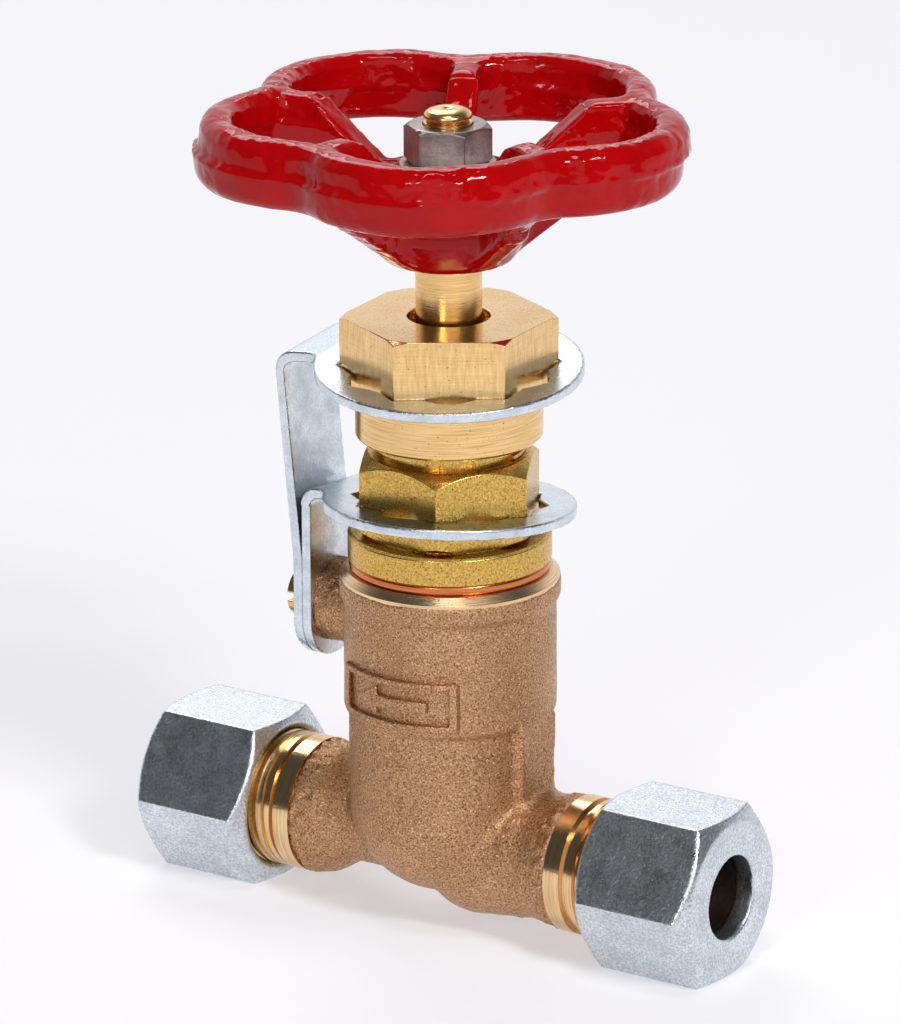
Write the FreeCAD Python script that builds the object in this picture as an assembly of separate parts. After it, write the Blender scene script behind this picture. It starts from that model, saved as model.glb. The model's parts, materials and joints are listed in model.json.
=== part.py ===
import FreeCAD, Part
import math
import os

# Screw-down isolating valve in cast bronze with compression ends for tube.
# Millimetres and degrees. Z runs up the stem from the surface the valve stands on,
# X runs along the flow, with the inlet on the +X side, under the seat.

Vec = FreeCAD.Vector
ORIGIN = Vec(0, 0, 0)
X_AXIS = Vec(1, 0, 0)
Y_AXIS = Vec(0, 1, 0)
Z_AXIS = Vec(0, 0, 1)

# Clearances
running_fit = 0.05            # radial, parts that turn or slide in one another
thread_clearance = 0.05       # radial, between a thread and its nut or hole
axial_play = 0.1              # end float of the stem button and the cutting rings
tube_clearance = 0.1          # radial, between the tube and what it passes through
plate_clearance = 0.35        # each flat, between a locking plate and its hexagon
slip_fit = 0.1                # radial, loose assembly fits

# Hexagons
nut_chamfer_angle = 30.0
blank_allowance = 1.0         # turned blank beyond the corners it leaves

# Tube ends
tube_d = 12.0
waterway_r = 4.5
end_nut_af = 24.0
end_nut_length = 19.2
end_nut_face_x = 47.5
end_nut_chamfer_r = 11.2
end_thread_r = 10.0
end_thread_chamfer = 0.9
spigot_end_x = 39.5
socket_half_angle = 12.0
socket_mouth_r = 7.0
socket_depth = 7.0
cutting_ring_nose = 2.4       # length of the cutting ring inside the socket
cutting_ring_collar_r = 7.9
cutting_ring_collar = 3.0

# Cast body, heights above the flow axis
body_top_rise = 41.2
barrel_upper_r = 15.3
barrel_lower_r = 14.65
barrel_step_rise = 20.3
barrel_step_height = 0.7
bead_r = 15.9
bead_height = 4.0
bead_chamfer = 1.1
bowl_rise = 5.0               # equator of the rounded bottom
bowl_depth = 12.5
belly_x = 6.8
belly_r = 10.4
inlet_waist_x = 16.6
inlet_waist_r = 9.2
outlet_waist_x = 14.6
outlet_waist_r = 6.9
outlet_flare_x = 18.4
outlet_flare_r = 9.3
neck_end_x = 22.0
neck_end_r = 9.8
side_pad_width = 9.0
side_pad_reach = 15.2

# Inside the body
bonnet_thread_r = 12.0
bonnet_thread_length = 13.0
bonnet_thread_runout = 1.0
chamber_r = 11.0
chamber_floor_rise = 8.0
seat_height = 3.0
seat_outer_r = 7.5
seat_bore_r = 5.0
outlet_pocket_inner_r = 7.0
outlet_pocket_angle = 110.0
outlet_pocket_drop = 1.0      # bottom of the outlet pocket below the flow axis
outlet_root_x = 8.0           # outlet neck and its waterway start inside the pocket

# Boss for the locking plates, on the outlet side
boss_rise = 32.5
boss_r = 6.0
boss_face_x = 19.8
boss_hole_depth = 5.8
screw_r = 2.0
screw_length = 8.2
screw_head_r = 3.6
screw_head_height = 3.2
screw_slot_width = 1.2
screw_slot_depth = 1.3

# Bonnet
gasket_thickness = 1.5
gasket_r = 14.5
bonnet_flange_r = 14.63
bonnet_flange_height = 4.1
bonnet_flange_chamfer = 0.4
bonnet_hex_af = 24.0
bonnet_hex_height = 11.7
bonnet_hex_turn = 25.2        # direction of one flat, from +X
bonnet_hex_foot_r = 12.1
bonnet_hex_top_r = 11.6
bonnet_hex_top_angle = 38.5
neck_thread_r = 11.0
neck_height = 14.7
neck_chamfer = 0.8
stem_guide_length = 7.0

# Packing and gland
packing_box_r = 8.0
packing_box_depth = 12.2
packing_washer_thickness = 1.0
packing_ring_height = 2.6
packing_ring_count = 3
follower_flange_r = 9.8
follower_flange_thickness = 1.8
gland_nut_gap = 2.3           # bonnet hexagon to the skirt of the gland nut
gland_nut_af = 27.0
gland_nut_turn = 3.3          # direction of one flat, from +X
gland_nut_hex_height = 10.9
gland_nut_chamfer = 0.5
gland_nut_chamfer_r = 14.5
gland_skirt_r = 13.4
gland_skirt_height = 6.7
gland_skirt_chamfer = 0.4
gland_nut_roof = 3.0
gland_nut_bore_r = 5.93

# Stem and disc
stem_r = 4.74
stem_thread_r = 6.0
stem_thread_length = 21.0
stem_thread_chamfer = 1.0
stem_shank_r = 4.6
stem_shank_length = 5.0
stem_neck_r = 3.0
stem_neck_length = 4.5
stem_button_r = 4.4
stem_button_height = 2.4
disc_r = 8.2
disc_base = 4.0
disc_chamfer = 0.6
disc_nut_r = 6.0
disc_nut_height = 3.0
disc_nut_engagement = 2.4
disc_nut_slot_width = 1.6
disc_nut_slot_depth = 1.0

# Handwheel and its fastening
wheel_gap = 8.4               # gland nut to the underside of the hub, valve closed
wheel_square = 7.0
wheel_square_end_gap = 0.8    # square of the stem stops short of the hub top
hub_bottom_r = 8.8
hub_top_r = 10.4
hub_height = 13.0
hub_solid_r = 9.2
hub_flare_r = 12.4            # widest place of the hub between the spokes
hub_flare_rise = 5.6          # its height above the underside
wheel_lobe_count = 5
wheel_lobe_centre_r = 16.5
wheel_lobe_r = 18.9
wheel_lobe_turn = -63.0       # direction of one lobe, from +X
wheel_valley_fillet = 7.0
wheel_rim_width = 5.5
wheel_rim_height = 9.9
wheel_rim_rise = 12.5         # rim bottom above the underside of the hub
wheel_rim_fillet = 2.0
wheel_rim_inner_fillet = 1.6  # rounding at the windows
wheel_spoke_width = 4.6
wheel_spoke_flat_r = 20.2     # a spoke is level from here out to the rim
wheel_spoke_top_drop = 0.6    # level part of a spoke below the rim top
wheel_spoke_root = 2.0        # depth that a spoke runs into the rim
wheel_spoke_foot_rise = 1.0   # spoke underside above the rim bottom, where they meet
wheel_window_fillet = 3.4
stud_r = 3.5
stud_tip = 2.3                # stud above its nut
stud_dome = 0.9
wheel_washer_r = 7.0
wheel_washer_thickness = 1.2
wheel_nut_af = 11.0
wheel_nut_height = 5.5
wheel_nut_turn = -5.2         # direction of one flat, from +X
wheel_nut_chamfer_r = 5.35

# Locking plates
plate_thickness = 1.5
plate_leg_width = 13.0
plate_bend_r = 1.6
plate_ring_fillet = 3.0
plate_ring_reach = 6.0        # the tilted ring stays within this of its level
plate_foot_height = 7.5       # flat foot of the outer leg above the screw
plate_end_drop = 2.0          # centre of the round end below the screw
plate_points = 12
gland_plate_r = 19.2
gland_plate_rise = 10.6       # ring top above the bottom edge of the gland nut
gland_plate_droop = -2.2
gland_plate_sag = 1.3         # its arm dips between the ring and the bend
gland_plate_twist = 4.6
gland_plate_spread = 3.0      # outer leg stands away at the top
bonnet_plate_r = 18.2
bonnet_plate_rise = 4.1       # ring top above the bonnet flange
bonnet_plate_droop = 0.9
bonnet_plate_sag = 0.0
bonnet_plate_twist = -4.6

# Levels worked out from the sizes above
flow_z = end_nut_af / 2
body_top_z = flow_z + body_top_rise
seat_z = flow_z + chamber_floor_rise + seat_height
boss_z = flow_z + boss_rise
flange_z = body_top_z + gasket_thickness
hex_z = flange_z + bonnet_flange_height
shoulder_z = hex_z + bonnet_hex_height
neck_top_z = shoulder_z + neck_height
box_floor_z = neck_top_z - packing_box_depth
packing_z = box_floor_z + packing_washer_thickness
packing_top_z = packing_z + packing_ring_count * packing_ring_height
skirt_z = shoulder_z + gland_nut_gap
gland_hex_z = skirt_z + gland_skirt_height
gland_top_z = gland_hex_z + gland_nut_hex_height
gland_roof_z = gland_top_z - gland_nut_roof
hub_z = gland_top_z + wheel_gap
hub_top_z = hub_z + hub_height
rim_z = hub_z + wheel_rim_rise
rim_top_z = rim_z + wheel_rim_height
washer_top_z = hub_top_z + wheel_washer_thickness
nut_top_z = washer_top_z + wheel_nut_height
stem_top_z = nut_top_z + stud_tip
tube_bore_r = tube_d / 2 + tube_clearance
reach = 200.0                 # longer than any cut needs to be


def turned(profile):
    """Solid of revolution about Z from (radius, height) points."""
    points = [Vec(r, 0, z) for r, z in profile]
    points.append(points[0])
    face = Part.Face(Part.makePolygon(points))
    return face.revolve(ORIGIN, Z_AXIS, 360)


def cylinder(radius, low, high):
    return Part.makeCylinder(radius, high - low, Vec(0, 0, low))


def sleeve(outer, inner, low, high):
    return cylinder(outer, low, high).cut(cylinder(inner, low, high))


def prism(sides, flats, low, high, flat_direction):
    """Regular prism about Z, by its size across flats and the direction of one flat."""
    corner_r = flats / 2 / math.cos(math.pi / sides)
    points = []
    for index in range(sides + 1):
        angle = math.radians(flat_direction) + (index + 0.5) * 2 * math.pi / sides
        points.append(Vec(corner_r * math.cos(angle), corner_r * math.sin(angle), low))
    return Part.Face(Part.makePolygon(points)).extrude(Vec(0, 0, high - low))


def hex_head(flats, low, high, flat_direction, foot_r, foot_angle, top_r, top_angle):
    """Hexagon whose corners are turned off by a cone at each end."""
    corner_r = flats / math.sqrt(3) + blank_allowance
    foot_cone = (corner_r - foot_r) * math.tan(math.radians(foot_angle))
    top_cone = (corner_r - top_r) * math.tan(math.radians(top_angle))
    turning = turned([(0, low), (foot_r, low), (corner_r, low + foot_cone),
                      (corner_r, high - top_cone), (top_r, high), (0, high)])
    return prism(6, flats, low, high, flat_direction).common(turning)


def at_end(shape, side):
    """Lay a shape turned about Z along the flow axis: side +1 inlet, -1 outlet."""
    shape.rotate(ORIGIN, Y_AXIS, 90 * side)
    shape.translate(Vec(0, 0, flow_z))
    return shape


def along_boss(shape):
    """Lay a shape turned about Z along the axis of the boss, heading out of it."""
    shape.rotate(ORIGIN, Y_AXIS, -90)
    shape.translate(Vec(0, 0, boss_z))
    return shape


def export(shape, name):
    shape.exportStep("parts/" + name + ".step")


# Cast body

def barrel():
    step_z = flow_z + barrel_step_rise
    bowl_z = flow_z + bowl_rise
    bead_z = body_top_z - bead_height
    bottom = Vec(0, 0, bowl_z - bowl_depth)
    halfway = math.sqrt(0.5)
    flank = Vec(barrel_lower_r * halfway, 0, bowl_z - bowl_depth * halfway)
    side = [(barrel_lower_r, bowl_z), (barrel_lower_r, step_z - barrel_step_height),
            (barrel_upper_r, step_z), (barrel_upper_r, bead_z - (bead_r - barrel_upper_r)),
            (bead_r, bead_z), (bead_r, body_top_z - bead_chamfer),
            (bead_r - bead_chamfer, body_top_z), (0, body_top_z)]
    points = [Vec(r, 0, z) for r, z in side]
    bowl_arc = Part.Arc(bottom, flank, points[0]).toShape()
    wall = Part.makePolygon(points + [bottom])
    outline = Part.Wire([bowl_arc] + wall.Edges)
    return Part.Face(outline).revolve(ORIGIN, Z_AXIS, 360)


def inlet_neck():
    tip = Vec(0, 0, belly_x - belly_r)
    halfway = math.sqrt(0.5)
    flank = Vec(belly_r * halfway, 0, belly_x - belly_r * halfway)
    crown = Vec(belly_r, 0, belly_x)
    waist = Vec(inlet_waist_r, 0, inlet_waist_x)
    collar = Vec(neck_end_r, 0, neck_end_x)
    round_end = Part.Arc(tip, flank, crown).toShape()
    rest = Part.makePolygon([crown, waist, collar, Vec(0, 0, neck_end_x), tip])
    outline = Part.Wire([round_end] + rest.Edges)
    return Part.Face(outline).revolve(ORIGIN, Z_AXIS, 360)


def outlet_neck():
    return turned([(0, outlet_root_x), (outlet_waist_r, outlet_root_x),
                   (outlet_waist_r, outlet_waist_x), (outlet_flare_r, outlet_flare_x),
                   (neck_end_r, neck_end_x), (0, neck_end_x)])


def tube_socket():
    """Cone and pocket that take the cutting ring and the end of the tube."""
    cone_depth = (socket_mouth_r - tube_bore_r) / math.tan(math.radians(socket_half_angle))
    stop_x = spigot_end_x - socket_depth
    return turned([(0, stop_x), (tube_bore_r, stop_x), (tube_bore_r, spigot_end_x - cone_depth),
                   (socket_mouth_r, spigot_end_x), (0, spigot_end_x)])


def outlet_pocket():
    """Crescent that leads from above the seat down to the outlet."""
    low = flow_z - outlet_pocket_drop
    height = seat_z - seat_height - low
    sector = Part.makeCylinder(chamber_r, height, Vec(0, 0, low), Z_AXIS, outlet_pocket_angle)
    sector.rotate(ORIGIN, Z_AXIS, 180 - outlet_pocket_angle / 2)
    return sector.cut(cylinder(outlet_pocket_inner_r, low, low + height))


def make_body():
    side_pad = Part.makeBox(side_pad_reach, side_pad_width, barrel_step_rise - bowl_rise,
                            Vec(0, -side_pad_width / 2, flow_z + bowl_rise))
    boss = along_boss(cylinder(boss_r, chamber_r, boss_face_x))
    outside = barrel().multiFuse([at_end(inlet_neck(), 1), at_end(outlet_neck(), -1), side_pad, boss])

    floor_z = seat_z - seat_height
    thread_floor_z = body_top_z - bonnet_thread_length + gasket_thickness - bonnet_thread_runout
    cuts = [
        cylinder(bonnet_thread_r + thread_clearance, thread_floor_z, body_top_z + reach),
        sleeve(chamber_r, seat_outer_r, floor_z, seat_z),
        cylinder(chamber_r, seat_z, body_top_z),
        cylinder(seat_bore_r, flow_z, seat_z),
        Part.makeSphere(seat_bore_r, Vec(0, 0, flow_z)),
        at_end(cylinder(waterway_r, 0, spigot_end_x), 1),
        at_end(cylinder(waterway_r, outlet_root_x, spigot_end_x), -1),
        outlet_pocket(),
        along_boss(cylinder(screw_r, boss_face_x - boss_hole_depth, reach)),
    ]
    return outside.cut(cuts).removeSplitter()


def make_spigot(side):
    """Turned and threaded end of the casting. It meets the body where the cast neck ends."""
    plain_r = end_thread_r - end_thread_chamfer
    blank = turned([(0, neck_end_x), (end_thread_r, neck_end_x),
                    (end_thread_r, spigot_end_x - end_thread_chamfer),
                    (plain_r, spigot_end_x), (0, spigot_end_x)])
    bore = cylinder(waterway_r, neck_end_x, spigot_end_x)
    return at_end(blank.cut([bore, tube_socket()]), side)


# Bonnet, packing and gland

def make_gasket():
    return sleeve(gasket_r, bonnet_thread_r + slip_fit, body_top_z, flange_z)


def make_bonnet():
    flange = turned([(0, flange_z), (bonnet_flange_r, flange_z),
                     (bonnet_flange_r, hex_z - bonnet_flange_chamfer),
                     (bonnet_flange_r - bonnet_flange_chamfer, hex_z), (0, hex_z)])
    hexagon = hex_head(bonnet_hex_af, hex_z, shoulder_z, bonnet_hex_turn,
                       bonnet_hex_foot_r, nut_chamfer_angle, bonnet_hex_top_r, bonnet_hex_top_angle)
    spigot_z = flange_z - bonnet_thread_length
    neck = turned([(0, shoulder_z), (neck_thread_r, shoulder_z),
                   (neck_thread_r, neck_top_z - neck_chamfer),
                   (neck_thread_r - neck_chamfer, neck_top_z), (0, neck_top_z)])
    solid = cylinder(bonnet_thread_r, spigot_z, flange_z).multiFuse([flange, hexagon, neck])
    guide_z = box_floor_z - stem_guide_length
    bore = turned([(0, spigot_z), (stem_thread_r + running_fit, spigot_z),
                   (stem_thread_r + running_fit, guide_z), (stem_r + running_fit, guide_z),
                   (stem_r + running_fit, box_floor_z), (packing_box_r, box_floor_z),
                   (packing_box_r, neck_top_z), (0, neck_top_z)])
    return solid.cut(bore).removeSplitter()


def make_packing_washer():
    return sleeve(packing_box_r - slip_fit, stem_r + running_fit, box_floor_z, packing_z)


def make_packing_ring(index):
    low = packing_z + index * packing_ring_height
    return sleeve(packing_box_r - running_fit, stem_r + running_fit, low, low + packing_ring_height)


def make_follower():
    flange_low = gland_roof_z - follower_flange_thickness
    bush = sleeve(packing_box_r - slip_fit, stem_r + slip_fit, packing_top_z, flange_low)
    return bush.fuse(sleeve(follower_flange_r, stem_r + slip_fit, flange_low, gland_roof_z))


def make_gland_nut():
    corner_r = gland_nut_af / math.sqrt(3)
    top_angle = math.degrees(math.atan2(gland_nut_chamfer, corner_r - gland_nut_chamfer_r))
    hexagon = hex_head(gland_nut_af, gland_hex_z, gland_top_z, gland_nut_turn,
                       corner_r, nut_chamfer_angle, gland_nut_chamfer_r, top_angle)
    skirt = turned([(0, skirt_z), (gland_skirt_r - gland_skirt_chamfer, skirt_z),
                    (gland_skirt_r, skirt_z + gland_skirt_chamfer),
                    (gland_skirt_r, gland_hex_z), (0, gland_hex_z)])
    bore = turned([(0, skirt_z), (neck_thread_r + thread_clearance, skirt_z),
                   (neck_thread_r + thread_clearance, gland_roof_z),
                   (gland_nut_bore_r, gland_roof_z), (gland_nut_bore_r, gland_top_z),
                   (0, gland_top_z)])
    return hexagon.fuse(skirt).cut(bore).removeSplitter()


# Stem and disc

disc_socket_z = seat_z + disc_base
button_z = disc_socket_z + axial_play
button_top_z = button_z + stem_button_height
disc_thread_z = button_top_z + axial_play
disc_top_z = disc_thread_z + disc_nut_engagement


def make_disc():
    blank = turned([(0, seat_z), (disc_r - disc_chamfer, seat_z), (disc_r, seat_z + disc_chamfer),
                    (disc_r, disc_top_z - disc_chamfer), (disc_r - disc_chamfer, disc_top_z),
                    (0, disc_top_z)])
    socket = turned([(0, disc_socket_z), (stem_button_r + running_fit, disc_socket_z),
                     (stem_button_r + running_fit, disc_thread_z),
                     (disc_nut_r + thread_clearance, disc_thread_z),
                     (disc_nut_r + thread_clearance, disc_top_z), (0, disc_top_z)])
    return blank.cut(socket)


def make_disc_nut():
    top_z = disc_thread_z + disc_nut_height
    nut = sleeve(disc_nut_r, stem_neck_r + running_fit, disc_thread_z, top_z)
    slot = Part.makeBox(4 * disc_nut_r, disc_nut_slot_width, disc_nut_slot_depth,
                        Vec(-2 * disc_nut_r, -disc_nut_slot_width / 2, top_z - disc_nut_slot_depth))
    return nut.cut(slot)


def make_stem():
    neck_top = button_top_z + stem_neck_length
    thread_z = neck_top + stem_shank_length
    thread_top = thread_z + stem_thread_length
    square_top = hub_top_z - wheel_square_end_gap
    spindle = turned([(0, button_z), (stem_button_r, button_z), (stem_button_r, button_top_z),
                      (stem_neck_r, button_top_z), (stem_neck_r, neck_top),
                      (stem_shank_r, neck_top), (stem_shank_r, thread_z),
                      (stem_thread_r - stem_thread_chamfer, thread_z),
                      (stem_thread_r, thread_z + stem_thread_chamfer),
                      (stem_thread_r, thread_top - stem_thread_chamfer),
                      (stem_thread_r - stem_thread_chamfer, thread_top),
                      (stem_r, thread_top), (stem_r, hub_z), (0, hub_z)])
    square = prism(4, wheel_square, hub_z, square_top, wheel_lobe_turn)
    square = square.common(cylinder(stem_r, hub_z, square_top))
    stud = turned([(0, square_top), (stud_r, square_top), (stud_r, stem_top_z - stud_dome),
                   (stud_r - stud_dome, stem_top_z), (0, stem_top_z)])
    return spindle.multiFuse([square, stud]).removeSplitter()


# Handwheel

def lobed_face():
    """Outline of the wheel: overlapping discs, with the valleys between them rounded."""
    discs = []
    for index in range(wheel_lobe_count):
        angle = math.radians(wheel_lobe_turn + index * 360 / wheel_lobe_count)
        centre = Vec(wheel_lobe_centre_r * math.cos(angle), wheel_lobe_centre_r * math.sin(angle), 0)
        discs.append(Part.Face(Part.Wire(Part.makeCircle(wheel_lobe_r, centre))))
    hub = Part.Face(Part.Wire(Part.makeCircle(wheel_lobe_centre_r)))
    joined = hub.multiFuse(discs).removeSplitter()
    outline = Part.Face(joined.Faces[0].OuterWire)
    return outline.makeOffset2D(wheel_valley_fillet).makeOffset2D(-wheel_valley_fillet)


def window_faces(inside):
    """Openings between the spokes, with rounded corners. A spoke runs to each valley."""
    bars = [Part.Face(Part.Wire(Part.makeCircle(hub_solid_r)))]
    for index in range(wheel_lobe_count):
        bar = Part.makePlane(wheel_lobe_centre_r + wheel_lobe_r, wheel_spoke_width,
                             Vec(0, -wheel_spoke_width / 2, 0))
        bar.rotate(ORIGIN, Z_AXIS, wheel_lobe_turn + (index + 0.5) * 360 / wheel_lobe_count)
        bars.append(bar)
    windows = []
    for face in inside.cut(bars).Faces:
        windows.append(face.makeOffset2D(-wheel_window_fillet).makeOffset2D(wheel_window_fillet))
    return windows


def rim_edges(shape, near, reach_out):
    """Level edges of the rim that start within a distance of a flat face, seen from above."""
    edges = []
    for edge in shape.Edges:
        start = edge.Vertexes[0].Point
        gap = Part.Vertex(start.x, start.y, 0).distToShape(near)[0]
        if edge.BoundBox.ZLength < wheel_rim_height / 2 and gap < reach_out:
            edges.append(edge)
    return edges


def make_handwheel():
    outline = lobed_face()
    inside = outline.makeOffset2D(-wheel_rim_width)
    disc = outline.extrude(Vec(0, 0, wheel_rim_height))
    disc = disc.makeFillet(wheel_rim_fillet, rim_edges(disc, outline, wheel_rim_width))
    rim = disc.cut(inside.extrude(Vec(0, 0, wheel_rim_height)))
    rim = rim.makeFillet(wheel_rim_inner_fillet, rim_edges(rim, inside, wheel_rim_inner_fillet))
    rim.translate(Vec(0, 0, rim_z))

    meet_r = wheel_lobe_centre_r + wheel_lobe_r - wheel_rim_width - wheel_rim_fillet
    spoke_top_z = rim_top_z - wheel_spoke_top_drop
    dish = turned([(0, hub_z), (hub_bottom_r, hub_z), (meet_r, rim_z + wheel_spoke_foot_rise),
                   (meet_r, spoke_top_z), (wheel_spoke_flat_r, spoke_top_z),
                   (hub_top_r, hub_top_z), (0, hub_top_z)])
    flare = turned([(0, hub_z), (hub_solid_r, hub_z), (hub_flare_r, hub_z + hub_flare_rise),
                    (hub_top_r, hub_top_z), (0, hub_top_z)])
    windows = []
    for face in window_faces(outline.makeOffset2D(wheel_spoke_root - wheel_rim_width)):
        window = face.extrude(Vec(0, 0, reach))
        window.translate(Vec(0, 0, hub_z - reach / 2))
        windows.append(window.cut(flare))
    square = prism(4, wheel_square + 2 * slip_fit, hub_z, hub_top_z, wheel_lobe_turn)
    return dish.cut(windows).fuse(rim).cut(square).removeSplitter()


def make_wheel_washer():
    return sleeve(wheel_washer_r, stud_r + slip_fit, hub_top_z, washer_top_z)


def make_wheel_nut():
    nut = hex_head(wheel_nut_af, washer_top_z, nut_top_z, wheel_nut_turn,
                   wheel_nut_chamfer_r, nut_chamfer_angle, wheel_nut_chamfer_r, nut_chamfer_angle)
    return nut.cut(cylinder(stud_r + thread_clearance, washer_top_z, nut_top_z))


# Locking plates

def plate_edge(solid, place):
    """The straight edge across the sheet whose middle is nearest to a place."""
    across = [edge for edge in solid.Edges if edge.BoundBox.YLength > plate_leg_width]
    return min(across, key=lambda edge: edge.CenterOfMass.distanceToPoint(place))


def bent_sheet(ring_r, ring_z, droop, sag, leg_x, spread):
    """Wide strip of sheet that runs level through the ring and turns down into the leg."""
    slope = math.tan(math.radians(droop))
    foot_z = boss_z + plate_foot_height
    low = boss_z - plate_leg_width
    outer_x = leg_x - plate_thickness
    corner_x = outer_x - spread
    arm_x = plan_fillet_centre(ring_r).x * ring_r / (ring_r + plate_ring_fillet)
    corner_z = ring_z + slope * corner_x - sag
    top = [Vec(ring_r, 0, ring_z + slope * ring_r), Vec(arm_x, 0, ring_z + slope * arm_x),
           Vec(corner_x, 0, corner_z), Vec(outer_x, 0, foot_z), Vec(outer_x, 0, low)]
    drop = Vec(0, 0, -plate_thickness)
    inset = Vec(plate_thickness, 0, 0)
    bottom = [top[4] + inset, top[3] + inset, top[2] + inset + drop, top[1] + drop, top[0] + drop]
    section = Part.Face(Part.makePolygon(top + bottom + [top[0]]))
    section.translate(Vec(0, -2 * ring_r, 0))
    sheet = section.extrude(Vec(0, 4 * ring_r, 0))
    sheet = sheet.makeFillet(plate_bend_r + plate_thickness, [plate_edge(sheet, top[2])])
    return sheet.makeFillet(plate_bend_r, [plate_edge(sheet, bottom[2])])


def plan_fillet_centre(ring_r):
    """Centre of the round that leads from the ring into the leg, on the +Y side."""
    y = plate_leg_width / 2 + plate_ring_fillet
    return Vec(-math.sqrt((ring_r + plate_ring_fillet) ** 2 - y ** 2), y, 0)


def plan_half_width(ring_r, x):
    """Half the width of the flat blank where the bend starts."""
    centre = plan_fillet_centre(ring_r)
    if x <= centre.x:
        return plate_leg_width / 2
    if x <= centre.x * ring_r / (ring_r + plate_ring_fillet):
        return centre.y - math.sqrt(plate_ring_fillet ** 2 - (x - centre.x) ** 2)
    return math.sqrt(ring_r ** 2 - x ** 2)


def ring_blank(ring_r, bend_x, low, high):
    """Ring and the start of its leg in plan, as an upright solid that ends at the bend."""
    centre = plan_fillet_centre(ring_r)
    touch = centre * (ring_r / (ring_r + plate_ring_fillet))
    blank = cylinder(ring_r, low, high)
    arm = Part.makeBox(-centre.x, plate_leg_width, high - low, Vec(centre.x, -plate_leg_width / 2, low))
    corners = Part.makeBox(touch.x - centre.x, 2 * touch.y, high - low, Vec(centre.x, -touch.y, low))
    for side in (1, -1):
        round_cut = cylinder(plate_ring_fillet, low, high)
        round_cut.translate(Vec(centre.x, side * centre.y, 0))
        corners = corners.cut(round_cut)
    lead = Part.makeBox(ring_r, plate_leg_width, high - low,
                        Vec(centre.x - ring_r, -plate_leg_width / 2, low))
    kept = Part.makeBox(reach, reach, high - low, Vec(bend_x, -reach / 2, low))
    return blank.multiFuse([arm, corners, lead]).common(kept)


def leg_blank(ring_r, ring_z, bend_x, leg_x, twist):
    """Leg seen along X: a straight strip with a round foot, flared where it leaves the ring."""
    half = plate_leg_width / 2
    top_half = plan_half_width(ring_r, bend_x)
    flare_low = ring_z - plate_thickness - plate_bend_r
    end_z = boss_z - plate_end_drop
    foot_x = max(bend_x, leg_x)
    strip = Part.makeBox(reach, plate_leg_width, reach, Vec(bend_x - reach, -half, end_z))
    low_strip = Part.makeBox(reach, plate_leg_width, flare_low - end_z, Vec(foot_x - reach, -half, end_z))
    foot = along_boss(cylinder(half, -foot_x, reach))
    foot.translate(Vec(0, 0, -plate_end_drop))
    flare_points = [Vec(bend_x, -half, flare_low), Vec(bend_x, -top_half, ring_z),
                    Vec(bend_x, top_half, ring_z), Vec(bend_x, half, flare_low)]
    flare = Part.Face(Part.makePolygon(flare_points + [flare_points[0]])).extrude(Vec(-reach, 0, 0))
    flare.rotate(Vec(0, 0, ring_z), X_AXIS, twist)
    return strip.multiFuse([low_strip, foot, flare])


def make_lock_plate(ring_r, ring_z, hex_af, hex_turn, droop, sag, twist, leg_x, spread):
    """Flat ring with a twelve-point hole, and a leg that is screwed to the boss."""
    centre = Vec(0, 0, ring_z)
    low = ring_z - plate_ring_reach
    high = ring_z + plate_ring_reach
    bend_x = leg_x - spread + plate_bend_r
    sheet = bent_sheet(ring_r, ring_z, droop, sag, leg_x, spread)
    points = prism(6, hex_af + 2 * plate_clearance, low, high, hex_turn)
    points = points.fuse(prism(6, hex_af + 2 * plate_clearance, low, high, hex_turn + 360 / plate_points))
    points.rotate(centre, Y_AXIS, -droop)
    ring = ring_blank(ring_r, bend_x, low, high).common(sheet).cut(points)
    ring.rotate(centre, X_AXIS, twist)
    sheet.rotate(centre, X_AXIS, twist)
    leg = leg_blank(ring_r, ring_z, bend_x, leg_x, twist).common(sheet)
    hole = along_boss(cylinder(screw_r + slip_fit, 0, reach))
    return ring.fuse(leg).cut(hole).removeSplitter()


def make_bonnet_plate():
    return make_lock_plate(bonnet_plate_r, hex_z + bonnet_plate_rise, bonnet_hex_af, bonnet_hex_turn,
                           bonnet_plate_droop, bonnet_plate_sag, bonnet_plate_twist, -boss_face_x, 0)


def make_gland_plate():
    return make_lock_plate(gland_plate_r, skirt_z + gland_plate_rise, gland_nut_af, gland_nut_turn,
                           gland_plate_droop, gland_plate_sag, gland_plate_twist,
                           -boss_face_x - plate_thickness, gland_plate_spread)


def make_screw():
    seat_x = boss_face_x + 2 * plate_thickness
    shank = cylinder(screw_r - thread_clearance, seat_x - screw_length, seat_x)
    head = cylinder(screw_head_r, seat_x, seat_x + screw_head_height)
    slot = Part.makeBox(screw_slot_width, 4 * screw_head_r, screw_slot_depth,
                        Vec(-screw_slot_width / 2, -2 * screw_head_r,
                            seat_x + screw_head_height - screw_slot_depth))
    return along_boss(shank.fuse(head).cut(slot))


# Compression nuts and cutting rings

collar_x = spigot_end_x + axial_play
collar_end_x = collar_x + cutting_ring_collar
ring_shoulder_x = collar_end_x + cutting_ring_collar_r - tube_bore_r


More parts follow.
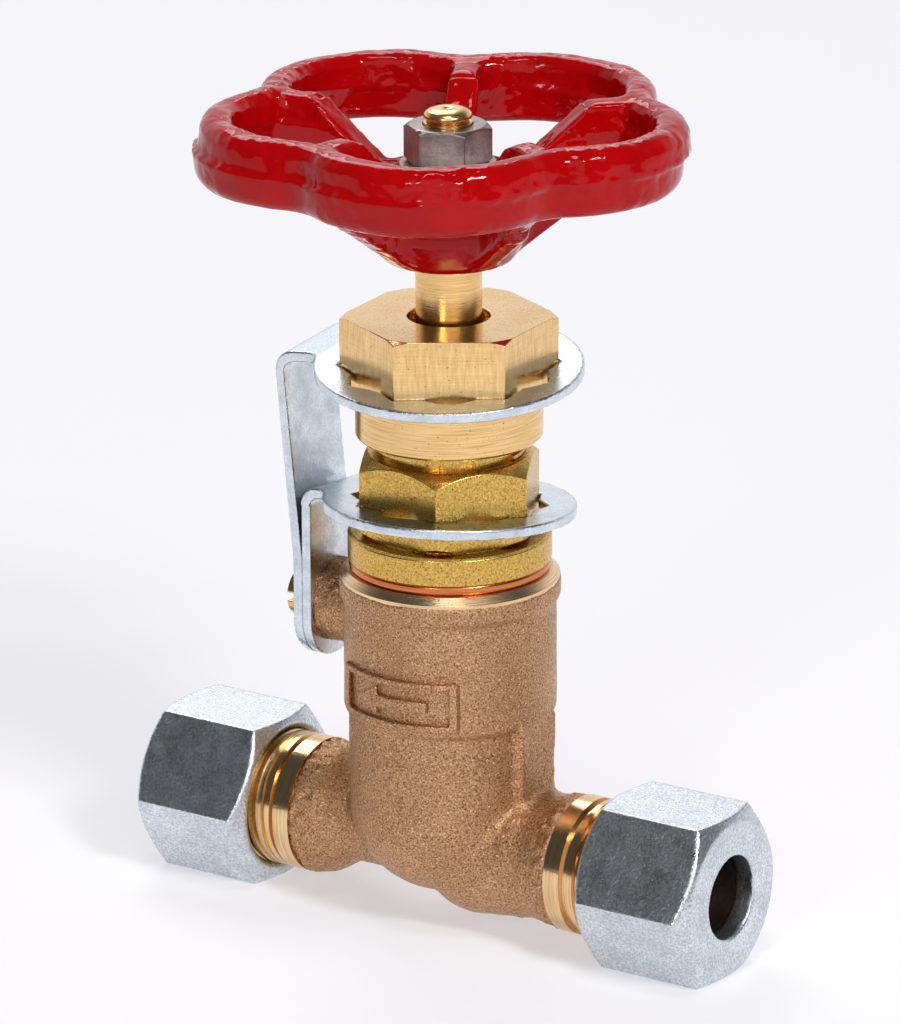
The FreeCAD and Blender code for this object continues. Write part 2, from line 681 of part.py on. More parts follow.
def make_end_nut(side):
    inner_x = end_nut_face_x - end_nut_length
    hexagon = hex_head(end_nut_af, inner_x, end_nut_face_x, 0,
                       end_nut_chamfer_r, nut_chamfer_angle, end_nut_chamfer_r, nut_chamfer_angle)
    thread_r = end_thread_r + thread_clearance
    mouth_r = thread_r + end_thread_chamfer
    pocket_r = cutting_ring_collar_r + slip_fit
    cone_x = collar_end_x + slip_fit
    cone_end_x = cone_x + pocket_r - tube_bore_r
    thread_end_x = spigot_end_x + axial_play
    bore = turned([(0, inner_x), (mouth_r, inner_x), (thread_r, inner_x + end_thread_chamfer),
                   (thread_r, thread_end_x), (pocket_r, thread_end_x), (pocket_r, cone_x),
                   (tube_bore_r, cone_end_x), (tube_bore_r, end_nut_face_x), (0, end_nut_face_x)])
    return at_end(hexagon.cut(bore), side)


def make_cutting_ring(side):
    slope = math.tan(math.radians(socket_half_angle))
    root_r = socket_mouth_r - slip_fit
    nose_x = spigot_end_x - cutting_ring_nose
    nose_r = root_r - cutting_ring_nose * slope
    ring = turned([(tube_bore_r, nose_x), (nose_r, nose_x), (root_r, spigot_end_x),
                   (root_r, collar_x), (cutting_ring_collar_r, collar_x),
                   (cutting_ring_collar_r, collar_end_x), (tube_bore_r, ring_shoulder_x)])
    return at_end(ring, side)


os.makedirs("parts", exist_ok=True)
export(make_body(), "body")
export(make_gasket(), "bonnet_gasket")
export(make_bonnet(), "bonnet")
export(make_packing_washer(), "packing_washer")
for ring_index, ring_name in enumerate(("lower", "middle", "upper")):
    export(make_packing_ring(ring_index), "packing_ring_" + ring_name)
export(make_follower(), "gland_follower")
export(make_gland_nut(), "gland_nut")
export(make_disc(), "disc")
export(make_disc_nut(), "disc_nut")
export(make_stem(), "stem")
export(make_handwheel(), "handwheel")
export(make_wheel_washer(), "handwheel_washer")
export(make_wheel_nut(), "handwheel_nut")
export(make_bonnet_plate(), "bonnet_lock_plate")
export(make_gland_plate(), "gland_lock_plate")
export(make_screw(), "lock_plate_screw")
for end_name, end_side in (("inlet", 1), ("outlet", -1)):
    export(make_spigot(end_side), end_name + "_spigot")
    export(make_end_nut(end_side), end_name + "_nut")
    export(make_cutting_ring(end_side), end_name + "_cutting_ring")
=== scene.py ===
# %% [markdown]
# # Isolating valve
#
# A bronze screw-down valve stands on its two compression nuts. The CAD model gives every piece its
# place and size. This lesson gives the pieces their surfaces: a lumpy enamelled wheel, a sand-cast
# body, turned and milled brass, and zinc-plated steel. Sizes are written in millimetres, and MM turns
# them into Blender's metres.

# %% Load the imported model
import json
import math

import bpy
from mathutils import Matrix, Vector

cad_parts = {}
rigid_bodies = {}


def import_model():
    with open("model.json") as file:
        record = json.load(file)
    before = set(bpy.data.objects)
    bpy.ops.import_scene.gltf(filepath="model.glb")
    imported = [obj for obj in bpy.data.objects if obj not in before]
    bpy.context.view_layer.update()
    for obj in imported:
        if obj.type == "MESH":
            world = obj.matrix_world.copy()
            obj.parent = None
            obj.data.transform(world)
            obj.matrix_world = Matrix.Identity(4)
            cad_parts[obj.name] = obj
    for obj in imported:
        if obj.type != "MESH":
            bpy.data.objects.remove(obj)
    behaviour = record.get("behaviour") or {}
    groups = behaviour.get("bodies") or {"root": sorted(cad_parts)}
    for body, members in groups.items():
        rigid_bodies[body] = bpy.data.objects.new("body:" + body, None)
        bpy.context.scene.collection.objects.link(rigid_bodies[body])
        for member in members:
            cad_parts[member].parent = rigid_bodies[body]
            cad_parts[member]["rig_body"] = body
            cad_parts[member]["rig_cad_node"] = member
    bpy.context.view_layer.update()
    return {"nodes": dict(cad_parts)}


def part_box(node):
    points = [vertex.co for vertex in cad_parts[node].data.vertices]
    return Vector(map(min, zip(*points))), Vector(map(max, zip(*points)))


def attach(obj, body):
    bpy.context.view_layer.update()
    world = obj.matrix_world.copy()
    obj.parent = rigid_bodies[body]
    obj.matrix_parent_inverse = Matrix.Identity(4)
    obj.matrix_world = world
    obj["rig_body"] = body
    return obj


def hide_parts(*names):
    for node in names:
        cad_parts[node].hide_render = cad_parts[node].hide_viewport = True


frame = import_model()
nodes = frame["nodes"]
MM = 0.001


def box_in_mm(node):
    """Lowest and highest corner of a CAD node, in millimetres."""
    return [[round(side / MM, 3) for side in corner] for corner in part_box(node)]


# %% [markdown]
# ## Camera
#
# The camera stands about a metre away and looks down a little, with a long lens, so the valve's
# upright edges stay nearly parallel. It could be aimed at a target by a constraint, but plain angles
# are easier to match to a picture. It comes first, because every later choice is judged through it.

# %% Camera
camera_place = Vector((526.05, -800.76, 380.67)) * MM
camera_turn = math.radians(33.3)
camera_tilt = math.radians(18.45)
camera_roll = math.radians(-0.27)
camera_lens = 248.83
film_height = 36.0
sight_end = 20.0  # metres

bpy.ops.object.select_all(action="DESELECT")
bpy.ops.object.camera_add()
camera = bpy.context.object
camera.name = "camera"
camera.matrix_world = (Matrix.Translation(camera_place) @ Matrix.Rotation(camera_turn, 4, "Z")
                       @ Matrix.Rotation(math.pi / 2 - camera_tilt, 4, "X")
                       @ Matrix.Rotation(camera_roll, 4, "Z"))
camera.data.sensor_fit = "VERTICAL"
camera.data.sensor_height = film_height
camera.data.lens = camera_lens
camera.data.clip_end = sight_end
bpy.context.scene.camera = camera
print("camera", round(camera_place.length, 3), "m from the origin")

# %% [markdown]
# ## Tools for materials
#
# Colours are written as sRGB hex values, as a colour picker shows them, and Blender's sockets take
# linear values, so one function turns one into the other. A second one adds a node, sets its
# settings, and fills its sockets with numbers or links. Patterns read Object coordinates in
# millimetres, so the Scale of a noise is the number of its grains to a millimetre.

# %% Colour and node tools
# places of the colour sockets on a Mix node, where several sockets share a name
SHARE = 0
FIRST = 6
SECOND = 7
MIXED = 2


def linear(hex_colour):
    """Linear RGBA from an sRGB hex colour."""
    shares = [int(hex_colour[i:i + 2], 16) / 255 for i in (1, 3, 5)]
    return tuple(s / 12.92 if s <= 0.04045 else ((s + 0.055) / 1.055) ** 2.4 for s in shares) + (1.0,)


def add_node(tree, kind, sockets=None, **settings):
    """Add a node. Sockets maps a name or a number to a value or to another node's output."""
    made = tree.nodes.new("ShaderNode" + kind)
    for name, value in settings.items():
        setattr(made, name, value)
    for key, value in (sockets or {}).items():
        if isinstance(value, bpy.types.NodeSocket):
            tree.links.new(value, made.inputs[key])
        else:
            made.inputs[key].default_value = value
    return made


def new_material(name):
    """An empty material with its shader, its output and Object coordinates in millimetres."""
    material = bpy.data.materials.new(name)
    material.use_nodes = True
    tree = material.node_tree
    tree.nodes.clear()
    shader = add_node(tree, "BsdfPrincipled")
    add_node(tree, "OutputMaterial", {"Surface": shader.outputs["BSDF"]})
    place = add_node(tree, "TexCoord").outputs["Object"]
    in_mm = add_node(tree, "Mapping", {"Vector": place, "Scale": (1 / MM,) * 3}).outputs["Vector"]
    return material, tree, shader, in_mm


print("middle grey in linear values", [round(value, 3) for value in linear("#808080")])

# %% [markdown]
# ## Red enamel
#
# The wheel is cast iron, dipped in a thick glossy enamel. Enamel is not a metal: its colour is deep
# and even, and its shine is clear but broken by runs and by the casting under it. Where it has
# chipped, dull iron shows. An image could be wrapped round the wheel, but noise that the material
# works out for itself has no seams and fits every lobe.

# %% Red enamel on cast iron
def make_red_enamel():
    runs_per_mm = 0.2       # runs and sags about 5 mm wide
    chips_per_mm = 0.42
    peel_per_mm = 0.45      # orange peel two or three millimetres wide
    patches_per_mm = 0.09   # patches about 11 mm wide, where the peel is stronger or weaker
    peel_depth = 0.55
    material, tree, shader, in_mm = new_material("red_enamel")
    # the depth of the colour changes a little where the enamel ran
    runs = add_node(tree, "TexNoise", {"Vector": in_mm, "Scale": runs_per_mm, "Detail": 3.0,
                                       "Roughness": 0.5})
    shade = add_node(tree, "Mix", {SHARE: runs.outputs["Fac"], FIRST: linear("#980205"),
                                   SECOND: linear("#BC0408")}, data_type="RGBA")
    # chips are the few highest peaks of a noise, about a millimetre wide
    spots = add_node(tree, "TexNoise", {"Vector": in_mm, "Scale": chips_per_mm, "Detail": 4.0,
                                        "Roughness": 0.6})
    chip = add_node(tree, "MapRange", {"Value": spots.outputs["Fac"], "From Min": 0.735, "From Max": 0.75})
    colour = add_node(tree, "Mix", {SHARE: chip.outputs["Result"], FIRST: shade.outputs[MIXED],
                                    SECOND: linear("#6A4A44")}, data_type="RGBA")
    gloss = add_node(tree, "MapRange", {"Value": chip.outputs["Result"], "To Min": 0.06, "To Max": 0.5})
    peel = add_node(tree, "TexNoise", {"Vector": in_mm, "Scale": peel_per_mm, "Detail": 1.0,
                                       "Roughness": 0.4})
    patches = add_node(tree, "TexNoise", {"Vector": in_mm, "Scale": patches_per_mm, "Detail": 1.0})
    patch = add_node(tree, "MapRange", {"Value": patches.outputs["Fac"], "From Min": 0.42, "From Max": 0.58,
                                        "To Min": 0.1, "To Max": 0.9})
    bump = add_node(tree, "Bump", {"Height": peel.outputs["Fac"], "Strength": patch.outputs["Result"],
                                   "Distance": peel_depth * MM})
    tree.links.new(colour.outputs[MIXED], shader.inputs["Base Color"])
    tree.links.new(gloss.outputs["Result"], shader.inputs["Roughness"])
    tree.links.new(bump.outputs["Normal"], shader.inputs["Normal"])
    shader.inputs["Specular IOR Level"].default_value = 0.22
    return material


red_enamel = make_red_enamel()
print("made", red_enamel.name)

# %% [markdown]
# ## Sand-cast bronze
#
# The body keeps the skin that it had in the sand mould: brown-gold, with a grain of about a quarter
# of a millimetre. Single grains catch the light, and the hollows between them are darker. A grain as
# fine as this would take millions of faces to model, so colour and bump draw it, and only the coarser
# lumps are in the mesh.

# %% Sand-cast bronze
def make_cast_bronze():
    grains_per_mm = 3.8     # the mould's sand, a quarter of a millimetre wide
    clouds_per_mm = 0.14    # cloudy tone from the melt, about 7 mm wide
    crystals_per_mm = 2.6
    grain_depth = 0.2
    material, tree, shader, in_mm = new_material("sand_cast_bronze")
    shader.inputs["Metallic"].default_value = 1.0
    grain = add_node(tree, "TexNoise", {"Vector": in_mm, "Scale": grains_per_mm, "Detail": 2.5,
                                        "Roughness": 0.6})
    cloud = add_node(tree, "TexNoise", {"Vector": in_mm, "Scale": clouds_per_mm, "Detail": 3.0})
    tone = add_node(tree, "Mix", {SHARE: cloud.outputs["Fac"], FIRST: linear("#BE8E64"),
                                  SECOND: linear("#DAAC82")}, data_type="RGBA")
    deep = add_node(tree, "MapRange", {"Value": grain.outputs["Fac"], "From Min": 0.32, "From Max": 0.52})
    skin = add_node(tree, "Mix", {SHARE: deep.outputs["Result"], FIRST: linear("#70492E"),
                                  SECOND: tone.outputs[MIXED]}, data_type="RGBA")
    # painted highlight: the grains that stand up are coloured bright, as if they caught the light
    painted_grain_glint = add_node(tree, "MapRange", {"Value": grain.outputs["Fac"], "From Min": 0.58, "From Max": 0.7})
    skin = add_node(tree, "Mix", {SHARE: painted_grain_glint.outputs["Result"], FIRST: skin.outputs[MIXED],
                                  SECOND: linear("#F6D4A8")}, data_type="RGBA")
    # single crystals glint
    crystals = add_node(tree, "TexVoronoi", {"Vector": in_mm, "Scale": crystals_per_mm}, feature="F1")
    glint = add_node(tree, "SeparateColor", {"Color": crystals.outputs["Color"]})
    sheen = add_node(tree, "MapRange", {"Value": glint.outputs["Red"], "From Min": 0.75, "From Max": 1.0,
                                        "To Min": 0.42, "To Max": 0.22})
    bump = add_node(tree, "Bump", {"Height": grain.outputs["Fac"], "Strength": 1.0,
                                   "Distance": grain_depth * MM})
    tree.links.new(skin.outputs[MIXED], shader.inputs["Base Color"])
    tree.links.new(sheen.outputs["Result"], shader.inputs["Roughness"])
    tree.links.new(bump.outputs["Normal"], shader.inputs["Normal"])
    return material


cast_bronze = make_cast_bronze()
print("made", cast_bronze.name)

# %% [markdown]
# ## Machined brass, bronze and copper
#
# Turned surfaces carry fine rings round their axis and milled flats carry straight lines. The cut
# face also has small dark pits. A brushed metal could come from the shader's Anisotropic setting, but
# that needs a map of directions. A noise that is stretched along the tool's path needs none, and it
# colours the strokes too. Real strokes are finer than a pixel, so they are drawn coarser here.

# %% Machined copper alloys
def make_machined(name, dark, light, rough, line_scale, cross_scale, pit_size, pit_start, skirt_top=0.0):
    """Metal cut by a tool. Line and cross scales are lines to a millimetre along X, Y and Z.

    Pits, their size in millimetres, lie where a noise rises above the start of the pits. Below the
    top of a skirt, in millimetres above the floor, only the cross lines are left.
    """
    stroke_depth = 0.04
    skirt_blend = 0.1
    pit_blend = 0.06
    material, tree, shader, in_mm = new_material(name)
    shader.inputs["Metallic"].default_value = 1.0
    along = add_node(tree, "Mapping", {"Vector": in_mm, "Scale": line_scale})
    across = add_node(tree, "Mapping", {"Vector": in_mm, "Scale": cross_scale})
    lines = add_node(tree, "TexNoise", {"Vector": along.outputs["Vector"], "Scale": 1.0, "Detail": 3.0})
    cross = add_node(tree, "TexNoise", {"Vector": across.outputs["Vector"], "Scale": 1.0, "Detail": 3.0})
    height = add_node(tree, "SeparateXYZ", {"Vector": in_mm}).outputs["Z"]
    share = add_node(tree, "MapRange", {"Value": height, "From Min": skirt_top - skirt_blend,
                                        "From Max": skirt_top, "To Min": 1.0, "To Max": 0.4})
    strokes = add_node(tree, "Mix", {"Factor": share.outputs["Result"], "A": lines.outputs["Fac"],
                                     "B": cross.outputs["Fac"]})
    shade = add_node(tree, "MapRange", {"Value": strokes.outputs["Result"], "From Min": 0.3,
                                        "From Max": 0.65})
    tone = add_node(tree, "Mix", {SHARE: shade.outputs["Result"], FIRST: linear(dark),
                                  SECOND: linear(light)}, data_type="RGBA")
    pits = add_node(tree, "TexNoise", {"Vector": in_mm, "Scale": 1 / pit_size, "Detail": 2.0})
    pit = add_node(tree, "MapRange", {"Value": pits.outputs["Fac"], "From Min": pit_start,
                                      "From Max": pit_start + pit_blend, "To Max": 0.8})
    colour = add_node(tree, "Mix", {SHARE: pit.outputs["Result"], FIRST: tone.outputs[MIXED],
                                    SECOND: linear("#5C421E")}, data_type="RGBA")
    gloss = add_node(tree, "MapRange", {"Value": shade.outputs["Result"], "To Min": rough * 1.25,
                                        "To Max": rough * 0.8})
    bump = add_node(tree, "Bump", {"Height": strokes.outputs["Result"], "Strength": 0.3,
                                   "Distance": stroke_depth * MM})
    tree.links.new(colour.outputs[MIXED], shader.inputs["Base Color"])
    tree.links.new(gloss.outputs["Result"], shader.inputs["Roughness"])
    tree.links.new(bump.outputs["Normal"], shader.inputs["Normal"])
    return material


rings_on_z = (0.15, 0.15, 8.0)
rings_on_x = (8.0, 0.15, 0.15)
upright_lines = (2.5, 2.5, 0.3)
even_grain = (3.0, 3.0, 3.0)
gland_skirt = 6.7  # height of the turned skirt under the gland nut's hexagon
gland_skirt_top = box_in_mm("gland_nut")[0][2] + gland_skirt
turned_brass = make_machined("turned_brass", "#DEB070", "#F4CE8E", 0.24, rings_on_z, rings_on_z,
                             pit_size=0.4, pit_start=0.74)
milled_brass = make_machined("milled_brass", "#D8AA6A", "#F6D296", 0.2, upright_lines, rings_on_z,
                             pit_size=0.35, pit_start=0.68, skirt_top=gland_skirt_top)
bonnet_brass = make_machined("bonnet_brass", "#BE9446", "#E6BE66", 0.28, even_grain, even_grain,
                             pit_size=0.22, pit_start=0.59)
turned_bronze = make_machined("turned_bronze", "#CFA46C", "#F0D2A4", 0.17, rings_on_x, rings_on_x,
                              pit_size=0.4, pit_start=0.76)
seat_bronze = make_machined("seat_bronze", "#DDB280", "#F4D6AC", 0.26, rings_on_z, rings_on_z,
                            pit_size=0.4, pit_start=0.76)
copper_sheet = make_machined("copper_sheet", "#B4602E", "#DE8C56", 0.24, rings_on_z, rings_on_z,
                             pit_size=0.3, pit_start=0.7)
print("made", turned_brass.name, milled_brass.name, bonnet_brass.name)
print("made", turned_bronze.name, seat_bronze.name, copper_sheet.name)

# %% [markdown]
# ## Zinc plate and bare steel
#
# Bright zinc has a cold blue cast and a fine crystal grain, with darker hollows between the crystals.
# A plain smooth metal would mirror the room like chrome. A cloudy roughness and a grain in both colour
# and bump break that mirror. The wheel's nut and washer are bare steel, duller and warmer, and share
# the same nodes.

# %% Zinc plate and bare steel
def make_steel(name, dark, light, rough, crystal_depth, hollow_share):
    """Steel with a cloudy tone and crystals, their depth in millimetres. Hollows between are darker."""
    clouds_per_mm = 0.3     # cloudy tone, about 3 mm wide
    crystals_per_mm = 2.7   # a third of a millimetre wide, coarser than real ones so that they show
    material, tree, shader, in_mm = new_material(name)
    shader.inputs["Metallic"].default_value = 1.0
    cloud = add_node(tree, "TexNoise", {"Vector": in_mm, "Scale": clouds_per_mm, "Detail": 5.0,
                                        "Roughness": 0.65})
    shade = add_node(tree, "MapRange", {"Value": cloud.outputs["Fac"], "From Min": 0.3, "From Max": 0.7})
    tone = add_node(tree, "Mix", {SHARE: shade.outputs["Result"], FIRST: linear(dark),
                                  SECOND: linear(light)}, data_type="RGBA")
    gloss = add_node(tree, "MapRange", {"Value": cloud.outputs["Fac"], "From Min": 0.3, "From Max": 0.7,
                                        "To Min": rough * 1.4, "To Max": rough * 0.8})
    crystals = add_node(tree, "TexNoise", {"Vector": in_mm, "Scale": crystals_per_mm, "Detail": 2.0,
                                           "Roughness": 0.6})
    hollow = add_node(tree, "MapRange", {"Value": crystals.outputs["Fac"], "From Min": 0.58,
                                         "From Max": 0.42, "To Max": hollow_share})
    colour = add_node(tree, "Mix", {SHARE: hollow.outputs["Result"], FIRST: tone.outputs[MIXED],
                                    SECOND: linear("#59646C")}, data_type="RGBA")
    bump = add_node(tree, "Bump", {"Height": crystals.outputs["Fac"], "Strength": 1.0,
                                   "Distance": crystal_depth * MM})
    tree.links.new(colour.outputs[MIXED], shader.inputs["Base Color"])
    tree.links.new(gloss.outputs["Result"], shader.inputs["Roughness"])
    tree.links.new(bump.outputs["Normal"], shader.inputs["Normal"])
    return material


zinc_steel = make_steel("zinc_plated_nut", "#D4DCE2", "#EAF0F4", rough=0.29, crystal_depth=0.085,
                        hollow_share=0.34)
zinc_sheet = make_steel("zinc_plated_sheet", "#CBD6DE", "#E6EEF3", rough=0.26, crystal_depth=0.015,
                        hollow_share=0.12)
plain_steel = make_steel("bare_steel", "#7C726A", "#B2A69C", rough=0.3, crystal_depth=0.04,
                         hollow_share=0.25)
print("made", zinc_steel.name, zinc_sheet.name, plain_steel.name)

# %% [markdown]
# ## Packing
#
# The packing rings are pressed graphite, hidden in the bonnet. They get a finish too, for anyone who
# takes the model apart. One dark noise is enough for a dull black that no light reaches.

# %% Pressed graphite
def make_graphite():
    flakes_per_mm = 1.5
    material, tree, shader, in_mm = new_material("pressed_graphite")
    flakes = add_node(tree, "TexNoise", {"Vector": in_mm, "Scale": flakes_per_mm, "Detail": 4.0})
    colour = add_node(tree, "Mix", {SHARE: flakes.outputs["Fac"], FIRST: linear("#1C1C1E"),
                                    SECOND: linear("#3A3A3D")}, data_type="RGBA")
    tree.links.new(colour.outputs[MIXED], shader.inputs["Base Color"])
    shader.inputs["Roughness"].default_value = 0.55
    return material


packing_graphite = make_graphite()
print("made", packing_graphite.name)

# %% [markdown]
# ## Finish of every node
#
# Every CAD node gets the finish of its real piece. Several are right as they come from the CAD model
# and need nothing more. The others get a stand-in later, which hides them.

# %% Finish the CAD nodes
finished_alike = [
    (turned_brass, ["stem", "disc", "disc_nut", "packing_washer", "gland_follower", "lock_plate_screw"]),
    (turned_bronze, ["inlet_spigot", "outlet_spigot"]),
    (cast_bronze, ["body"]),
    (bonnet_brass, ["bonnet"]),
    (milled_brass, ["gland_nut"]),
    (copper_sheet, ["bonnet_gasket"]),
    (packing_graphite, ["packing_ring_lower", "packing_ring_middle", "packing_ring_upper"]),
    (red_enamel, ["handwheel"]),
    (plain_steel, ["handwheel_washer", "handwheel_nut", "inlet_cutting_ring", "outlet_cutting_ring"]),
    (zinc_sheet, ["bonnet_lock_plate", "gland_lock_plate"]),
    (zinc_steel, ["inlet_nut", "outlet_nut"]),
]
for finish, alike in finished_alike:
    for node in alike:
        nodes[node].data.materials.clear()
        nodes[node].data.materials.append(finish)
print("finished", sum(len(alike) for finish, alike in finished_alike), "nodes")

# %% [markdown]
# ## Tools for pieces
#
# A CAD node is never changed. Where the real piece has softer edges or a rougher skin, a stand-in
# takes its place. It could be modelled anew, but a reshaped copy of the node is sure to keep its size.
# The CAD mesh is loose triangles, so the copy is merged first.

# %% Piece tools
def select_only(piece):
    bpy.ops.object.select_all(action="DESELECT")
    piece.select_set(True)
    bpy.context.view_layer.objects.active = piece


def edit_all(piece):
    """Open a piece in edit mode, with everything selected."""
    select_only(piece)
    bpy.ops.object.mode_set(mode="EDIT")
    bpy.ops.mesh.select_all(action="SELECT")


def edit_some(piece, chosen):
    """Open a piece in edit mode, with those points selected whose place passes a test."""
    select_only(piece)
    bpy.ops.object.mode_set(mode="EDIT")
    bpy.ops.mesh.select_all(action="DESELECT")
    bpy.ops.object.mode_set(mode="OBJECT")
    for vertex in piece.data.vertices:
        vertex.select = chosen(vertex.co)
    bpy.ops.object.mode_set(mode="EDIT")


def copy_of_node(node, name):
    """A copy of a CAD node as one merged mesh."""
    piece = nodes[node].copy()
    piece.data = nodes[node].data.copy()
    piece.name = name
    piece.parent = None
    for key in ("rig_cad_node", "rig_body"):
        del piece[key]
    piece.data.materials.clear()
    bpy.context.scene.collection.objects.link(piece)
    select_only(piece)
    bpy.ops.mesh.customdata_custom_splitnormals_clear()
    edit_all(piece)
    bpy.ops.mesh.remove_doubles(threshold=0.001 * MM)
    bpy.ops.object.mode_set(mode="OBJECT")
    return piece


def apply_modifier(piece, kind, **settings):
    """Add a modifier, set it and apply it."""
    select_only(piece)
    made = piece.modifiers.new(kind.lower(), kind)
    for name, value in settings.items():
        setattr(made, name, value)
    bpy.ops.object.modifier_apply(modifier=made.name)


def finish_piece(piece, body, material, slot, *replaced):
    """Give a piece its finish and its body, and hide the CAD nodes that it stands for."""
    piece.data.materials.clear()
    piece.data.materials.append(material)
    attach(piece, body)
    if replaced:
        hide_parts(*replaced)
    print(piece.name, "faces:", len(piece.data.polygons))


# %% [markdown]
# ## Tools for soft edges
#
# No cut or punched edge is perfectly sharp. On a machined piece the flat triangles are dissolved into
# whole faces, and a Bevel modifier rounds the edges and leaves the faces flat. A pressed or forged
# piece is softer all over, and a bevel would fail on its short edges. There a voxel remesh melts the
# copy into one skin of small squares, and smoothing rounds every edge. A melted skin may come to stand
# out of the CAD size, so the last tool presses it back into the node's box.

# %% Edge tools
def round_edges(piece, edge):
    """Round the sharp edges of a machined piece by that many millimetres. Flat faces stay flat."""
    edit_all(piece)
    bpy.ops.mesh.dissolve_limited(angle_limit=math.radians(0.3))
    bpy.ops.object.mode_set(mode="OBJECT")
    bpy.ops.object.shade_smooth_by_angle(angle=math.radians(12))
    apply_modifier(piece, "BEVEL", width=edge * MM, segments=3, limit_method="ANGLE", harden_normals=True,
                   angle_limit=math.radians(25), use_clamp_overlap=False)


def soft_edged(node, body, material, slot, edge):
    """Stand-in for a machined node, with its edges rounded."""
    piece = copy_of_node(node, node + "_finished")
    round_edges(piece, edge)
    finish_piece(piece, body, material, slot, node)


def melt(piece, voxel, smoothing):
    """Turn a CAD copy into one skin of squares, their size in millimetres, with soft corners."""
    apply_modifier(piece, "REMESH", mode="VOXEL", voxel_size=voxel * MM)
    apply_modifier(piece, "SMOOTH", factor=0.5, iterations=smoothing)


def keep_in_box(piece, node):
    """Press back the skin that stands out of the CAD node's box."""
    band = 2 * MM
    slack = 0.01 * MM
    for corner, side in zip(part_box(node), (-1, 1)):
        for axis in range(3):
            start = side * corner[axis] - band
            reach = max(side * vertex.co[axis] for vertex in piece.data.vertices)
            if reach < start + band:
                continue
            squeeze = [1.0, 1.0, 1.0]
            squeeze[axis] = (band - slack) / (reach - start)
            centre = [0.0, 0.0, 0.0]
            centre[axis] = side * start
            edit_some(piece, lambda place: side * place[axis] > start)
            bpy.ops.transform.resize(value=squeeze, center_override=centre)
            bpy.ops.object.mode_set(mode="OBJECT")


def pressed(node, body, material, slot, voxel, smoothing=2):
    """Stand-in for a pressed or forged node, with every edge rounded."""
    piece = copy_of_node(node, node + "_finished")
    melt(piece, voxel, smoothing)
    keep_in_box(piece, node)
    bpy.ops.object.shade_smooth()
    finish_piece(piece, body, material, slot, node)


# %% [markdown]
# ## Machined and pressed pieces
#
# The two compression nuts are forged and thickly plated, so their corners are round, and more
# smoothing than on the plates gives them that. On the brass and steel pieces a round of a tenth or two
# of a millimetre is enough to draw the thin bright line that makes an edge look like metal.

# %% Nuts, plates and screw with soft edges
pressed("inlet_nut", "inlet_union", zinc_steel, "zinc_steel", voxel=0.3, smoothing=5)
pressed("outlet_nut", "outlet_union", zinc_steel, "zinc_steel", voxel=0.3, smoothing=5)
soft_edged("gland_nut", "valve_body", milled_brass, "milled_brass", edge=0.15)
soft_edged("handwheel_nut", "spindle", plain_steel, "plain_steel", edge=0.15)
soft_edged("handwheel_washer", "spindle", plain_steel, "plain_steel", edge=0.25)
soft_edged("bonnet_gasket", "valve_body", copper_sheet, "copper_sheet", edge=0.5)
pressed("gland_lock_plate", "valve_body", zinc_sheet, "zinc_sheet", voxel=0.2)
pressed("bonnet_lock_plate", "valve_body", zinc_sheet, "zinc_sheet", voxel=0.2)
pressed("lock_plate_screw", "valve_body", turned_brass, "screw_brass", voxel=0.12)

# %% [markdown]
# ## Tools for turned pieces
#
# A lathe leaves round shapes, and Blender's Spin does the same: an outline is drawn point by point and
# carried round an axis. A cylinder could be scaled ring by ring, but an outline is what a turner would
# draw, and it takes grooves and chamfers as they come.

# %% Lathe tools
def draw_outline(name, outline):
    """A line of edges through points of radius and height in millimetres, closed if off the axis."""
    bpy.ops.object.select_all(action="DESELECT")
    bpy.ops.mesh.primitive_plane_add(size=MM)
    piece = bpy.context.object
    piece.name = name
    edit_all(piece)
    bpy.ops.mesh.merge(type="CENTER")
    bpy.ops.transform.translate(value=(outline[0][0] * MM, 0, outline[0][1] * MM))
    back_to_start = outline[:1] if outline[0][0] > 0 else []
    for here, there in zip(outline, outline[1:] + back_to_start):
        step = ((there[0] - here[0]) * MM, 0, (there[1] - here[1]) * MM)
        bpy.ops.mesh.extrude_vertices_move(TRANSFORM_OT_translate={"value": step})
    bpy.ops.object.mode_set(mode="OBJECT")
    return piece


def close_up(piece, fill_ends):
    """Merge doubles, fill the open ends of a thread and turn all faces outwards."""
    edit_all(piece)
    bpy.ops.mesh.remove_doubles(threshold=0.0005 * MM)
    if fill_ends:
        bpy.ops.mesh.select_all(action="DESELECT")
        bpy.ops.mesh.select_non_manifold()
        bpy.ops.mesh.fill()
        bpy.ops.mesh.select_all(action="SELECT")
    bpy.ops.mesh.normals_make_consistent(inside=False)
    bpy.ops.object.mode_set(mode="OBJECT")


def turned_piece(name, outline):
    """Spin an outline once round the Z axis."""
    piece = draw_outline(name, outline)
    edit_all(piece)
    bpy.ops.mesh.spin(steps=128, angle=2 * math.pi, center=(0, 0, 0), axis=(0, 0, 1))
    bpy.ops.object.mode_set(mode="OBJECT")
    close_up(piece, fill_ends=False)
    return piece


def ring(name, inner, outer, low, high):
    """A turned ring with a square section, from its radii and its lower and upper height."""
    return turned_piece(name, [(inner, low), (outer, low), (outer, high), (inner, high)])


# %% [markdown]
# ## Tools for threads
#
# In the CAD model a thread is a plain cylinder of the full size. A bump could draw the ridge, but the
# outline would stay smooth and the exported mesh would have no thread. So the ridge is modelled: its
# section is drawn once and climbs as it goes round, which is what the Screw modifier does.

